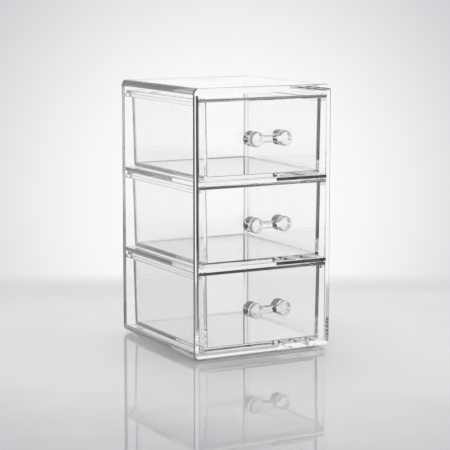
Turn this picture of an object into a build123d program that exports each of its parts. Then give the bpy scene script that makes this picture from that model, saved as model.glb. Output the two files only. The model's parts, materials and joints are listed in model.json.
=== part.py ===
"""A clear tower of three drawers for cosmetics, as the separate pieces that it is put together from.

Millimetres, +Z up, the drawers open towards -Y. The origin is under the middle of the whole
tower, handles included, on the surface that it stands on.
"""

from build123d import *
from math import radians, tan
import os

# The case: a rounded sleeve, open at the front, with a back panel and a shelf between drawers.
side_wall = 4.9
top_wall = 6.0
base_wall = 5.5
back_thickness = 3.0
shelf_thickness = 3.6
corner_radius = 5.5  # long outer edges of the sleeve
inner_radius = 1.2  # long inner edges of the sleeve
front_rounding = 1.4  # polished outer rim of the sleeve's open end
edge_break = 0.4  # polished edges of flat pieces

# The drawers: a moulded tray that narrows towards its floor, with a flat front cemented on.
drawer_names = ("lower", "middle", "upper")
drawer_height = 78.0
tray_width = 130.4  # outside, at the rim
tray_depth = 149.4  # outside, at the rim
tray_wall = 3.2
floor_thickness = 3.5
draft_angle = 1.1  # degrees, of the tray's sides and back
tray_corner_radius = 2.4  # outer corners and outer floor edge
tray_inner_radius = 1.8  # inner corners, those behind the front included
flange_width = 5.5  # at the sides
rear_flange_width = 1.5
flange_thickness = 3.2
flange_corner_radius = 3.0
flange_rounding = 0.7  # upper and lower outer edges
front_thickness = 3.6
front_bevel = 3.3  # along the inner upper edge, at 45 degrees

# The runners, one under each side flange of each tray.
runner_width = 4.9
runner_height = 3.2
runner_setback = 1.0  # behind the back of the drawer's front
runner_rounding = 0.6  # two long edges that face the drawer

# The handles: two round posts, and a bar level with their caps that runs into them in a curve.
post_diameter = 15.0
post_length = 15.5
post_spacing = 31.0
bar_height = 6.6
bar_depth = 6.6
bar_curve_radius = 4.0  # between the bar and the posts, as seen from the front
handle_rounding = 2.0  # all round the front of the handle

# The feet.
foot_diameter = 10.0
foot_height = 2.0
foot_rounding = 0.5
foot_inset = 14.0  # from the sides of the case to the axis of a foot

# Clearances.
cement_line = 0.1  # between two cemented pieces
slide_gap = 0.2  # between a runner and the flange that slides on it
side_gap = 0.4  # between the drawer and the sleeve's side walls
cell_gap = 0.6  # under and over a drawer
head_gap = 4.3  # over the top drawer
rear_gap = 1.5  # behind the tray's rear flange

# Widths and depths that follow from these.
drawer_count = len(drawer_names)
drawer_width = tray_width + 2 * flange_width
cavity_width = drawer_width + 2 * side_gap
case_width = cavity_width + 2 * side_wall
cavity_depth = front_thickness + cement_line + tray_depth + rear_flange_width + rear_gap
case_depth = cavity_depth + back_thickness
handle_projection = cement_line + post_length
front_y = (handle_projection - case_depth) / 2

# Heights that follow from these.
cell_height = drawer_height + 2 * cell_gap
cell_pitch = cell_height + shelf_thickness
cavity_height = drawer_count * cell_pitch - shelf_thickness + head_gap - cell_gap
case_height = base_wall + cavity_height + top_wall
case_bottom = foot_height + cement_line
cavity_bottom = case_bottom + base_wall


def facing_front(depth):
    """The upright plane that lies this far behind the front edge of the case."""
    return Plane.XZ.offset(-(front_y + depth))


def write(piece, name):
    """Label one finished piece and write it under its own name."""
    piece.label = name
    export_step(piece, f"parts/{name}.step")


os.makedirs("parts", exist_ok=True)

# Sleeve: one rounded wrap of top, base and sides.
with BuildPart() as sleeve:
    with BuildSketch(facing_front(0)):
        with Locations((0, case_bottom + case_height / 2)):
            RectangleRounded(case_width, case_height, corner_radius)
        with Locations((0, cavity_bottom + cavity_height / 2)):
            RectangleRounded(cavity_width, cavity_height, inner_radius, mode=Mode.SUBTRACT)
    extrude(amount=-case_depth)
    open_end = sleeve.faces().sort_by(Axis.Y)[0]
    fillet(open_end.outer_wire().edges(), radius=front_rounding)
write(sleeve.part, "case_sleeve")

# Back panel: set into the rear end of the sleeve.
with BuildPart() as back_panel:
    with BuildSketch(facing_front(cavity_depth)):
        with Locations((0, cavity_bottom + cavity_height / 2)):
            RectangleRounded(
                cavity_width - 2 * cement_line,
                cavity_height - 2 * cement_line,
                inner_radius,
            )
    extrude(amount=-back_thickness)
write(back_panel.part, "back_panel")

# Shelves: one between each drawer and the next.
shelf_width = cavity_width - 2 * cement_line
shelf_depth = cavity_depth - cement_line
for index in range(drawer_count - 1):
    shelf_bottom = cavity_bottom + cell_height + index * cell_pitch
    with BuildPart() as shelf:
        with BuildSketch(Plane.XY.offset(shelf_bottom)):
            with Locations((0, front_y + shelf_depth / 2)):
                Rectangle(shelf_width, shelf_depth)
        extrude(amount=shelf_thickness)
        front_face = shelf.faces().sort_by(Axis.Y)[0]
        chamfer(front_face.edges().filter_by(Axis.X), length=edge_break)
    write(shelf.part, f"shelf_over_{drawer_names[index]}_drawer")

# Feet: four small discs under the corners of the case.
foot_x = case_width / 2 - foot_inset
foot_front_y = front_y + foot_inset
foot_rear_y = front_y + case_depth - foot_inset
foot_places = {
    "front_left_foot": (-foot_x, foot_front_y),
    "front_right_foot": (foot_x, foot_front_y),
    "rear_left_foot": (-foot_x, foot_rear_y),
    "rear_right_foot": (foot_x, foot_rear_y),
}
for foot_name, foot_place in foot_places.items():
    with BuildPart() as foot:
        with BuildSketch(Plane.XY):
            with Locations(foot_place):
                Circle(foot_diameter / 2)
        extrude(amount=foot_height)
        fillet(foot.faces().sort_by(Axis.Z)[0].edges(), radius=foot_rounding)
    write(foot.part, foot_name)

# Forms that the trays are made of: drafted blocks, for the outside and for the hollow, and a flange.
tray_front_y = front_y + front_thickness + cement_line
flange_depth = tray_depth + rear_flange_width
draft_per_height = tan(radians(draft_angle))


def drafted_block(bottom, inset, lowest, overhang, rounding, square_front):
    """A block that narrows downwards, this far in from the tray's outer faces.

    It runs from its lowest level, counted from the tray's bottom, up to the rim, and reaches
    forward of the tray's front edge by the overhang. Its upright corners and floor edges are
    round, apart from those of a square front.
    """
    with BuildPart() as block:
        for height in (lowest, drawer_height):
            narrowing = inset + (drawer_height - height) * draft_per_height
            depth = tray_depth - narrowing + overhang
            with BuildSketch(Plane.XY.offset(bottom + height)):
                with Locations((0, tray_front_y - overhang + depth / 2)):
                    Rectangle(tray_width - 2 * narrowing, depth)
        loft()
        floor_edges = block.faces().sort_by(Axis.Z)[0].edges().sort_by(Axis.Y)
        upright_edges = block.edges().filter_by(lambda edge: abs(edge.tangent_at(0).Z) > 0.5)
        upright_edges = upright_edges.sort_by(Axis.Y)
        if square_front:
            floor_edges = floor_edges[1:]
            upright_edges = upright_edges[2:]
        fillet(floor_edges + upright_edges, radius=rounding)
    return block.part


def rim_flange(flange_bottom):
    """The flat flange round the sides and back of a tray's rim, rounded along its outer edges."""
    with BuildPart() as flange:
        with BuildSketch(Plane.XY.offset(flange_bottom)) as outline:
            with Locations((0, tray_front_y + flange_depth / 2)):
                Rectangle(drawer_width, flange_depth)
            fillet(outline.vertices().group_by(Axis.Y)[-1], radius=flange_corner_radius)
        extrude(amount=flange_thickness)
        lower_edges = flange.faces().sort_by(Axis.Z)[0].edges().sort_by(Axis.Y)[1:]
        upper_edges = flange.faces().sort_by(Axis.Z)[-1].edges().sort_by(Axis.Y)[1:]
        fillet(lower_edges + upper_edges, radius=flange_rounding)
    return flange.part


# Drawers and their runners, from the lowest drawer to the highest.
runner_length = cavity_depth - front_thickness - runner_setback - cement_line
runner_x = cavity_width / 2 - cement_line - runner_width / 2
for index, name in enumerate(drawer_names):
    bottom = cavity_bottom + cell_gap + index * cell_pitch
    rim = bottom + drawer_height
    flange_bottom = rim - flange_thickness
    middle_z = bottom + drawer_height / 2

    # Tray: floor, sides and back in one moulding, with a flange round the rim.
    tray_outside = drafted_block(bottom, 0, 0, 0, tray_corner_radius, True)
    tray_flange = rim_flange(flange_bottom)
    tray_hollow = drafted_block(
        bottom, tray_wall, floor_thickness, edge_break, tray_inner_radius, False
    )
    with BuildPart() as tray:
        add(tray_outside)
        add(tray_flange)
        add(tray_hollow, mode=Mode.SUBTRACT)
    write(tray.part, f"{name}_drawer_tray")

    # Front: a flat plate as wide as the flanges, bevelled along its inner upper edge.
    with BuildPart() as front:
        with BuildSketch(facing_front(0)):
            with Locations((0, middle_z)):
                Rectangle(drawer_width, drawer_height)
        extrude(amount=-front_thickness)
        side_and_lower_edges = front.faces().sort_by(Axis.Y)[0].edges().sort_by(Axis.Z)[:-1]
        chamfer(side_and_lower_edges, length=edge_break)
        inner_upper_edge = front.faces().sort_by(Axis.Y)[-1].edges().sort_by(Axis.Z)[-1]
        chamfer(inner_upper_edge, length=front_bevel)
    write(front.part, f"{name}_drawer_front")

    # Handle: two round posts on the front, joined by a bar that stands clear of it.
    with BuildPart() as handle:
        with BuildSketch(facing_front(-cement_line)):
            with Locations((-post_spacing / 2, middle_z), (post_spacing / 2, middle_z)):
                Circle(post_diameter / 2)
        extrude(amount=post_length - bar_depth)
        with BuildSketch(facing_front(bar_depth - cement_line - post_length)) as outline:
            with Locations((-post_spacing / 2, middle_z), (post_spacing / 2, middle_z)):
                Circle(post_diameter / 2)
            with Locations((0, middle_z)):
                Rectangle(post_spacing, bar_height)
            corners = outline.vertices().filter_by(lambda corner: abs(corner.X) < post_spacing / 2)
            fillet(corners, radius=bar_curve_radius)
        extrude(amount=bar_depth)
        fillet(handle.edges().group_by(Axis.Y)[0], radius=handle_rounding)
    write(handle.part, f"{name}_drawer_handle")

    # Runners: a strip on each side wall of the case, just under the tray's side flange.
    for side, direction in (("left", -1), ("right", 1)):
        with BuildPart() as runner:
            with BuildSketch(facing_front(front_thickness + runner_setback)):
                with Locations((direction * runner_x, flange_bottom - slide_gap - runner_height / 2)):
                    Rectangle(runner_width, runner_height)
            extrude(amount=-runner_length)
            inner_edges = runner.edges().filter_by(Axis.Y).group_by(Axis.X)[-1 if direction < 0 else 0]
            fillet(inner_edges, radius=runner_rounding)
        write(runner.part, f"{name}_{side}_runner")
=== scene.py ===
import bpy
import json
from math import cos, radians, sin
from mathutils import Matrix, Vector

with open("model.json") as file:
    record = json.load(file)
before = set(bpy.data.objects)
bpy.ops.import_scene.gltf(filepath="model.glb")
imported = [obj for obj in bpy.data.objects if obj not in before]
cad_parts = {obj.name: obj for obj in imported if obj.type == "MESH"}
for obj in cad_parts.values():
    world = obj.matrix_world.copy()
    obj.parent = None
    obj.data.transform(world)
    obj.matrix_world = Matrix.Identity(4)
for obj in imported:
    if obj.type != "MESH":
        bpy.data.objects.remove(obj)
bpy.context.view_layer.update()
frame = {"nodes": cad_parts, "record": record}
nodes = frame["nodes"]

# Lengths are in metres, those of the lens and its sensor in millimetres. Azimuth 0 is the front of
# the object, and 90 degrees its right side, at +X.

# The photograph's camera: where it stands, what it looks at and how long its lens is.
CAMERA_AZIMUTH = radians(-28.4)
CAMERA_ELEVATION = radians(8.43)
CAMERA_DISTANCE = 1.702
CAMERA_TARGET = Vector((0.0039, 0.0141, 0.1165))
CAMERA_LENS = 134.3
SENSOR_WIDTH = 36.0

# The backdrop: a glow behind the object that falls off evenly around one direction.
GLOW = (0.950, 0.952, 0.955)
GLOW_EDGE = (0.575, 0.570, 0.600)
GLOW_ELEVATION = radians(-7.6)
GLOW_START = radians(3.0)
GLOW_END = radians(13.0)
VIEW_AXIS = (-sin(CAMERA_AZIMUTH), cos(CAMERA_AZIMUTH), 0.0)

# The studio as the acrylic and the floor meet it: the middle of the glow, the walls, the ceiling,
# and the sines of the elevations between which the walls turn into the ceiling.
THROUGH = (0.985, 0.985, 0.987)
SURROUND = (0.970, 0.971, 0.977)
CEILING = (0.880, 0.883, 0.893)
CEILING_START = 0.35
CEILING_END = 0.80

# The dark parts of the studio draw the edges of the acrylic. Only rays that went into it and were
# mirrored meet them. The two sides begin at this share of the heading along X. The camera's side
# is dark from the horizon to a height, and begins at a share of the heading towards -Y.
DARK = (0.012, 0.013, 0.015)
SIDE_START = 0.58
SIDE_END = 0.64
HORIZON_START = radians(1.0)
HORIZON_END = radians(4.0)
CAMERA_SIDE_START = 0.0
CAMERA_SIDE_FULL = 0.3
CAMERA_SIDE_TOP = radians(35.0)
CAMERA_SIDE_END = radians(50.0)

# Two flags stand on the line of the view as the side walls mirror it, one ahead and one behind.
# They show faintly to rays mirrored once, and fully to rays mirrored at least this often.
FLAG_AXIS = (sin(CAMERA_AZIMUTH), cos(CAMERA_AZIMUTH), 0.0)
FLAG_HALF_WIDTH = radians(8.5)
FLAG_HALF_HEIGHT = radians(12.5)
FLAG_SOFTNESS = radians(1.5)
FLAG_FIRST_SHARE = 0.25
FLAG_FULL_COUNT = 3

# The floor's colour holds a painted pool of light: it is painted darker with the distance from
# the pool's centre, and clouds shift that distance a little. It fades into the backdrop behind
# the object and all round. Seen straight through acrylic, it glows like a lit table.
FLOOR = (0.620, 0.617, 0.627)
FLOOR_PAINTED_DIM = (0.410, 0.407, 0.427)
FLOOR_HALF_SIZE = 1.2
FLOOR_IOR = 1.55
PAINTED_POOL_CENTRE = (0.03, -0.04, 0.0)
PAINTED_POOL_START = 0.25
PAINTED_POOL_END = 0.60
CLOUD_SHIFT = 0.2
FLOOR_GLOW = (1.0, 0.998, 1.0)
FLOOR_GLOW_SHARE = 0.75
SWEEP_START = 0.29
SWEEP_END = 0.40
RIM_START = 0.60
RIM_END = 1.00

# A large lamp, high behind the object and facing the middle of its footprint.
LAMP_AZIMUTH = radians(165)
LAMP_ELEVATION = radians(52)
LAMP_DISTANCE = 1.6
LAMP_TARGET = Vector((0.0, 0.0, 0.0))
LAMP_SIZE = 1.0
LAMP_POWER = 9.0

# Acrylic: its tint deepens with the length of the light's way through it.
ACRYLIC_IOR = 1.49
ACRYLIC_BASE = (0.999, 1.0, 1.0)
ACRYLIC_SHADOW = (0.980, 0.982, 0.982)
CASE_TINT = (0.92, 0.935, 0.935)
DRAWER_TINT = (0.92, 0.935, 0.94)
TINT_DENSITY = 2.0

# Rubber, with a little dust.
RUBBER_IOR = 1.41
RUBBER_CLEAN = (0.78, 0.80, 0.80)
RUBBER_DUSTY = (0.90, 0.91, 0.91)

# The light's way through the stacked sheets and their edges is long.
LIGHT_BOUNCES = 96


class Graph:
    """Short calls for building one node tree."""

    def __init__(self, tree):
        self.tree = tree
        tree.nodes.clear()

    def add(self, kind, inputs=(), **settings):
        """A node with its settings, and its inputs as values or as links from other outputs."""
        node = self.tree.nodes.new(kind)
        for name, value in settings.items():
            setattr(node, name, value)
        for name, value in dict(inputs).items():
            if isinstance(value, bpy.types.NodeSocket):
                self.tree.links.new(value, node.inputs[name])
            else:
                node.inputs[name].default_value = value
        return node

    def math(self, operation, first, second=0.0, third=0.0):
        inputs = {0: first, 1: second, 2: third}
        return self.add("ShaderNodeMath", inputs, operation=operation).outputs[0]

    def product(self, first, second):
        return self.math("MULTIPLY", first, second)

    def larger(self, first, second):
        return self.math("MAXIMUM", first, second)

    def absolute(self, value):
        return self.math("ABSOLUTE", value)

    def reached(self, depth, count):
        """1 where a ray's depth is at least this whole number, otherwise 0."""
        return self.math("GREATER_THAN", depth, count - 0.5)

    def ramp(self, value, low, high, start=0.0, end=1.0):
        """A smooth step of value, from start at low to end at high."""
        node = self.add(
            "ShaderNodeMapRange",
            {"Value": value, "From Min": low, "From Max": high, "To Min": start, "To Max": end},
            interpolation_type="SMOOTHSTEP",
        )
        return node.outputs["Result"]

    def vector(self, operation, first, second=(0.0, 0.0, 0.0)):
        inputs = {0: first, 1: second}
        return self.add("ShaderNodeVectorMath", inputs, operation=operation)

    def dot(self, vector, axis):
        return self.vector("DOT_PRODUCT", vector, axis).outputs["Value"]

    def noise(self, place, scale, detail, roughness=0.5):
        inputs = {"Vector": place, "Scale": scale, "Detail": detail, "Roughness": roughness}
        return self.add("ShaderNodeTexNoise", inputs).outputs[0]

    def mix(self, factor, first, second):
        """A mix of two colours."""
        node = self.add("ShaderNodeMix", data_type="RGBA")
        for socket, value in ((0, factor), (6, first), (7, second)):
            if isinstance(value, bpy.types.NodeSocket):
                self.tree.links.new(value, node.inputs[socket])
            elif socket:
                node.inputs[socket].default_value = (*value, 1.0)
            else:
                node.inputs[socket].default_value = value
        return node.outputs[2]

    def mix_shaders(self, factor, first, second):
        inputs = {0: factor, 1: first.outputs[0], 2: second.outputs[0]}
        return self.add("ShaderNodeMixShader", inputs)


def add_object(name, data):
    """A new object in the scene."""
    thing = bpy.data.objects.new(name, data)
    bpy.context.scene.collection.objects.link(thing)
    return thing


def stand(thing, azimuth, elevation, distance, target):
    """Stand a lamp or camera in this direction from a point, facing it."""
    level = cos(elevation)
    away = Vector((sin(azimuth) * level, -cos(azimuth) * level, sin(elevation)))
    thing.location = target + away * distance
    thing.rotation_mode = "QUATERNION"
    thing.rotation_quaternion = away.to_track_quat("Z", "Y")


def material(name):
    """A new material and the graph of its nodes."""
    made = bpy.data.materials.new(name)
    made.use_nodes = True
    return made, Graph(made.node_tree)


def acrylic(name, wave_size, wave_height, haze, tint):
    """Clear polished acrylic: slightly wavy, with faint haze from handling, tinted inside."""
    made, graph = material(name)
    place = graph.add("ShaderNodeTexCoord").outputs["Object"]
    wave = graph.noise(place, scale=1 / wave_size, detail=2.0)
    bump = graph.add("ShaderNodeBump", {"Height": wave, "Strength": 1.0, "Distance": wave_height})
    smear = graph.noise(place, scale=34.0, detail=6.0, roughness=0.62)
    shader = graph.add(
        "ShaderNodeBsdfPrincipled",
        {
            "Base Color": (*ACRYLIC_BASE, 1.0),
            "Roughness": graph.ramp(smear, low=0.48, high=0.74, end=haze),
            "IOR": ACRYLIC_IOR,
            "Transmission Weight": 1.0,
            "Normal": bump.outputs[0],
        },
    )
    clear = graph.add("ShaderNodeBsdfTransparent", {"Color": (*ACRYLIC_SHADOW, 1.0)})
    shadow = graph.add("ShaderNodeLightPath").outputs["Is Shadow Ray"]
    surface = graph.mix_shaders(shadow, shader, clear)
    volume = graph.add(
        "ShaderNodeVolumeAbsorption", {"Color": (*tint, 1.0), "Density": TINT_DENSITY}
    )
    graph.add(
        "ShaderNodeOutputMaterial", {"Surface": surface.outputs[0], "Volume": volume.outputs[0]}
    )
    return made


def soft_rubber(name):
    """Milky, slightly dusty clear rubber."""
    made, graph = material(name)
    place = graph.add("ShaderNodeTexCoord").outputs["Object"]
    dust = graph.noise(place, scale=900.0, detail=4.0)
    shader = graph.add(
        "ShaderNodeBsdfPrincipled",
        {
            "Base Color": graph.mix(dust, RUBBER_CLEAN, RUBBER_DUSTY),
            "Roughness": graph.ramp(dust, low=0.3, high=0.7, start=0.30, end=0.48),
            "IOR": RUBBER_IOR,
            "Transmission Weight": 0.7,
        },
    )
    graph.add("ShaderNodeOutputMaterial", {"Surface": shader.outputs[0]})
    return made


def dress_nodes():
    """Give every CAD node its finish, by its slot in the record."""
    finishes = {
        "case_acrylic": acrylic(
            "case acrylic", wave_size=0.09, wave_height=0.00004, haze=0.012, tint=CASE_TINT
        ),
        "drawer_acrylic": acrylic(
            "drawer acrylic", wave_size=0.05, wave_height=0.00004, haze=0.016, tint=DRAWER_TINT
        ),
        "handle_acrylic": acrylic(
            "handle acrylic", wave_size=0.012, wave_height=0.00003, haze=0.02, tint=DRAWER_TINT
        ),
        "foot_rubber": soft_rubber("clear rubber"),
    }
    for part in frame["record"]["subparts"]:
        mesh = nodes[part["node"]].data
        mesh.materials.clear()
        mesh.materials.append(finishes[part["material_slot"]])


def floor_material():
    """Pale polish that fades out behind the object and far away, and glows through acrylic."""
    made, graph = material("pale floor")
    place = graph.add("ShaderNodeTexCoord").outputs["Object"]
    distance = graph.vector("LENGTH", place).outputs["Value"]
    # The centre of the painted pool of light on the floor.
    from_pool_centre = graph.vector("DISTANCE", place, PAINTED_POOL_CENTRE).outputs["Value"]
    behind = graph.ramp(graph.dot(place, VIEW_AXIS), SWEEP_START, SWEEP_END)
    far = graph.ramp(distance, RIM_START, RIM_END)
    cloud = graph.noise(place, scale=6.0, detail=3.0)
    spread = graph.math("MULTIPLY_ADD", cloud, CLOUD_SHIFT, from_pool_centre)
    # Painted pool of light: the floor's colour is painted darker away from the pool's centre.
    painted_pool_fade = graph.ramp(spread, PAINTED_POOL_START, PAINTED_POOL_END)
    polished = graph.add(
        "ShaderNodeBsdfPrincipled",
        {
            "Base Color": graph.mix(painted_pool_fade, FLOOR, FLOOR_PAINTED_DIM),
            "Roughness": graph.ramp(cloud, low=0.3, high=0.7, start=0.020, end=0.035),
            "IOR": FLOOR_IOR,
        },
    )
    glow = graph.add("ShaderNodeEmission", {"Color": (*FLOOR_GLOW, 1.0), "Strength": 1.0})
    path = graph.add("ShaderNodeLightPath").outputs
    inside = graph.reached(path["Transmission Depth"], 1)
    mirrored = graph.reached(path["Glossy Depth"], 1)
    straight = graph.product(inside, graph.math("SUBTRACT", 1.0, mirrored))
    seen = graph.mix_shaders(graph.product(straight, FLOOR_GLOW_SHARE), polished, glow)
    nothing = graph.add("ShaderNodeBsdfTransparent")
    surface = graph.mix_shaders(graph.larger(behind, far), seen, nothing)
    graph.add("ShaderNodeOutputMaterial", {"Surface": surface.outputs[0]})
    return made


def make_floor():
    """A plain square floor."""
    mesh = bpy.data.meshes.new("floor")
    size = FLOOR_HALF_SIZE
    corners = [(-size, -size, 0), (size, -size, 0), (size, size, 0), (-size, size, 0)]
    mesh.from_pydata(corners, [], [(0, 1, 2, 3)])
    mesh.materials.append(floor_material())
    floor = add_object("floor", mesh)


def dark_sides(graph, heading, height):
    """1 in the directions of the studio's two dark sides and of its dark camera side."""
    sides = graph.ramp(graph.absolute(graph.dot(heading, (1.0, 0.0, 0.0))), SIDE_START, SIDE_END)
    above = graph.ramp(height, sin(HORIZON_START), sin(HORIZON_END))
    below = graph.ramp(height, sin(CAMERA_SIDE_TOP), sin(CAMERA_SIDE_END), start=1.0, end=0.0)
    forward = graph.dot(heading, (0.0, -1.0, 0.0))
    facing = graph.ramp(forward, CAMERA_SIDE_START, CAMERA_SIDE_FULL)
    return graph.larger(sides, graph.product(graph.product(above, below), facing))


def flags(graph, heading, height):
    """1 in the directions of the two flags."""
    outer = cos(FLAG_HALF_WIDTH + FLAG_SOFTNESS)
    inner = cos(FLAG_HALF_WIDTH - FLAG_SOFTNESS)
    across = graph.ramp(graph.absolute(graph.dot(heading, FLAG_AXIS)), outer, inner)
    outer = sin(FLAG_HALF_HEIGHT + FLAG_SOFTNESS)
    inner = sin(FLAG_HALF_HEIGHT - FLAG_SOFTNESS)
    upright = graph.ramp(graph.absolute(height), inner, outer, start=1.0, end=0.0)
    return graph.product(across, upright)


def make_world():
    """A pale studio with a glow behind the object, and dark parts that only acrylic meets."""
    world = bpy.data.worlds.new("studio")
    world.use_nodes = True
    bpy.context.scene.world = world
    graph = Graph(world.node_tree)
    direction = graph.add("ShaderNodeTexCoord").outputs["Generated"]
    height = graph.dot(direction, (0.0, 0.0, 1.0))
    level = graph.vector("MULTIPLY", direction, (1.0, 1.0, 0.0)).outputs[0]
    heading = graph.vector("NORMALIZE", level).outputs[0]

    glow_axis = (
        VIEW_AXIS[0] * cos(GLOW_ELEVATION),
        VIEW_AXIS[1] * cos(GLOW_ELEVATION),
        sin(GLOW_ELEVATION),
    )
    off_axis = graph.math("ARCCOSINE", graph.dot(direction, glow_axis))
    falloff = graph.ramp(off_axis, GLOW_START, GLOW_END)
    backdrop = graph.mix(falloff, GLOW, GLOW_EDGE)
    walls = graph.mix(graph.ramp(height, CEILING_START, CEILING_END), SURROUND, CEILING)
    room = graph.mix(falloff, THROUGH, walls)

    # Rays that came straight through acrylic see the backdrop, so that it looks clear.
    path = graph.add("ShaderNodeLightPath").outputs
    inside = graph.reached(path["Transmission Depth"], 1)
    mirrored = graph.reached(path["Glossy Depth"], 1)
    turned = graph.larger(mirrored, path["Diffuse Depth"])
    straight = graph.larger(graph.math("SUBTRACT", inside, turned), 0.0)
    room = graph.mix(straight, room, graph.mix(falloff, THROUGH, GLOW_EDGE))

    # Rays that were mirrored in the acrylic see the dark parts.
    once = graph.product(mirrored, inside)
    often = graph.reached(path["Glossy Depth"], FLAG_FULL_COUNT)
    flag_share = graph.larger(graph.product(once, FLAG_FIRST_SHARE), often)
    flagged = graph.product(flags(graph, heading, height), flag_share)
    shaded = graph.product(dark_sides(graph, heading, height), once)
    room = graph.mix(graph.larger(shaded, flagged), room, DARK)

    colour = graph.mix(path["Is Camera Ray"], room, backdrop)
    background = graph.add("ShaderNodeBackground", {"Color": colour})
    graph.add("ShaderNodeOutputWorld", {"Surface": background.outputs[0]})


def make_lamp():
    """A large square softbox that no mirrored or refracted ray meets."""
    light = bpy.data.lights.new("high softbox", "AREA")
    light.size = LAMP_SIZE
    light.energy = LAMP_POWER
    lamp = add_object("high softbox", light)
    stand(lamp, LAMP_AZIMUTH, LAMP_ELEVATION, LAMP_DISTANCE, LAMP_TARGET)
    lamp.visible_glossy = False
    lamp.visible_transmission = False


def make_camera():
    """The scene's camera, where the photograph's stood."""
    lens = bpy.data.cameras.new("camera")
    lens.sensor_width = SENSOR_WIDTH
    lens.lens = CAMERA_LENS
    camera = add_object("camera", lens)
    stand(camera, CAMERA_AZIMUTH, CAMERA_ELEVATION, CAMERA_DISTANCE, CAMERA_TARGET)
    bpy.context.scene.camera = camera


dress_nodes()
make_floor()
make_world()
make_lamp()
make_camera()

scene = bpy.context.scene
scene.view_settings.view_transform = "Standard"
scene.cycles.max_bounces = LIGHT_BOUNCES
scene.cycles.transmission_bounces = LIGHT_BOUNCES
scene.cycles.glossy_bounces = LIGHT_BOUNCES
